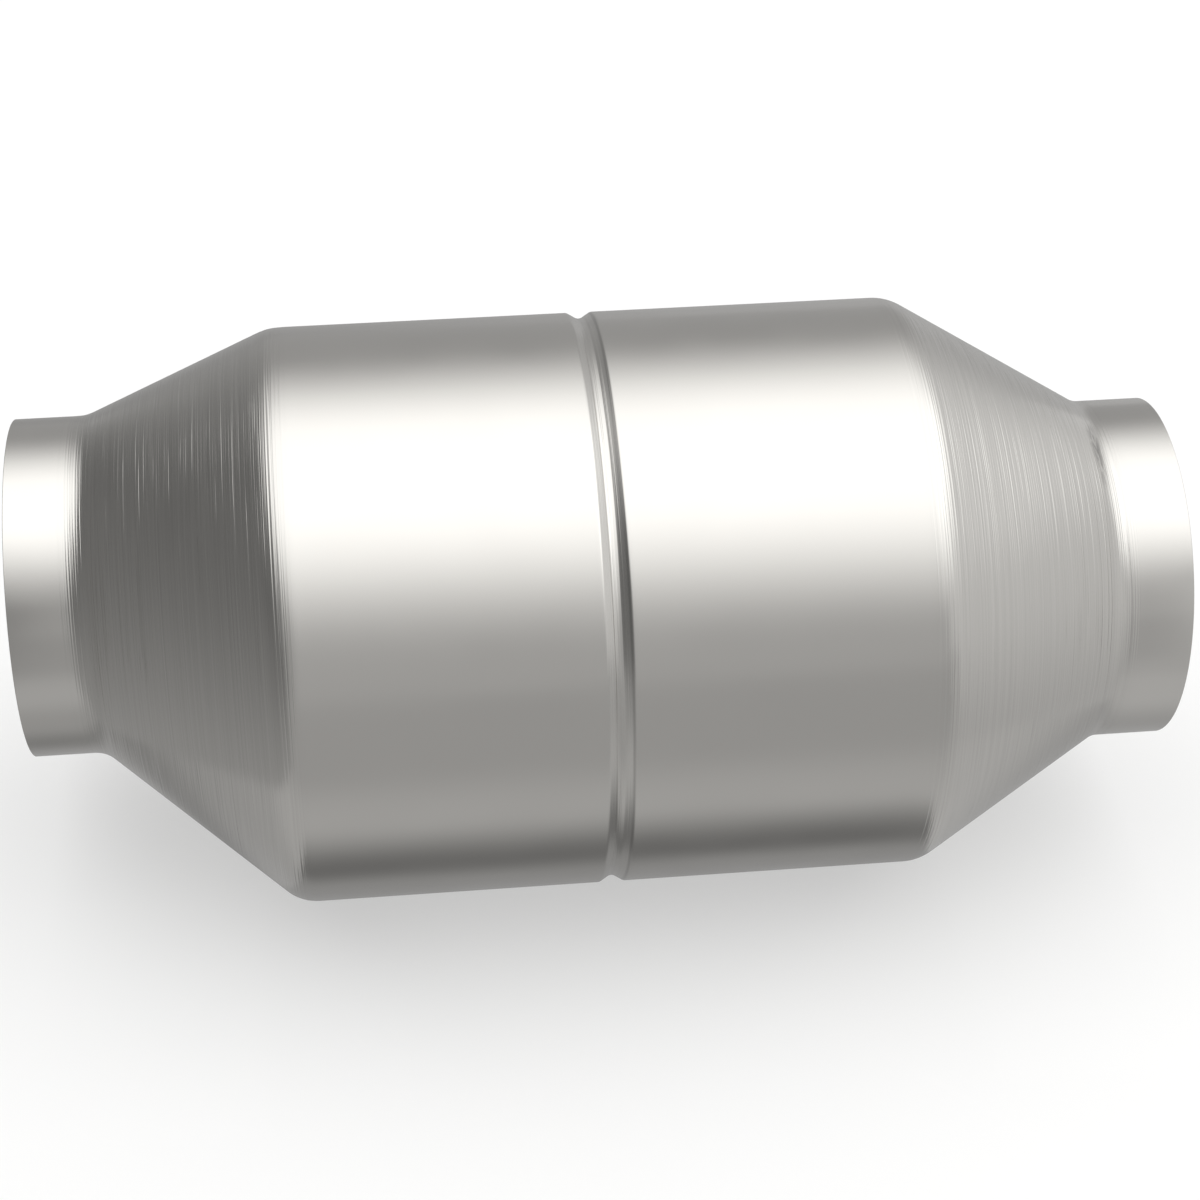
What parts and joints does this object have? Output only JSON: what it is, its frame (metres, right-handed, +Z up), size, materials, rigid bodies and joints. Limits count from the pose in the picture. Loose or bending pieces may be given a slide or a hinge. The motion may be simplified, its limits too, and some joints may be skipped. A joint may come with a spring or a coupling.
{
  "type": "catalytic converter",
  "caption": "Round spun steel exhaust can with a slip-on neck at each end, the inlet neck off its axis, holding ceramic honeycomb bricks that clean exhaust gas.",
  "frame": {"origin": "middle of the can, on the can's axis, in the plane of the groove", "axes": "+X along the can's axis from the offset inlet neck to the straight outlet neck, +Y towards the side that the inlet neck is offset to, +Z up as pictured"},
  "size_m": [0.202, 0.1016, 0.1016],
  "materials": {
    "spun_steel": "bright stainless tube, fine spinning marks round the cones",
    "brick_ceramic": "porous cordierite with a matt catalyst coat",
    "mat_fibre": "felted ceramic fibre with flecks of mica",
    "knitted_wire": "knitted and pressed stainless wire"
  },
  "bodies": {
    "root": {"shell": "spun_steel", "inlet_brick": "brick_ceramic", "outlet_brick": "brick_ceramic", "inlet_mat": "mat_fibre", "outlet_mat": "mat_fibre", "inlet_front_seal": "knitted_wire", "inlet_rear_seal": "knitted_wire", "outlet_front_seal": "knitted_wire", "outlet_rear_seal": "knitted_wire"}
  },
  "joints": []
}
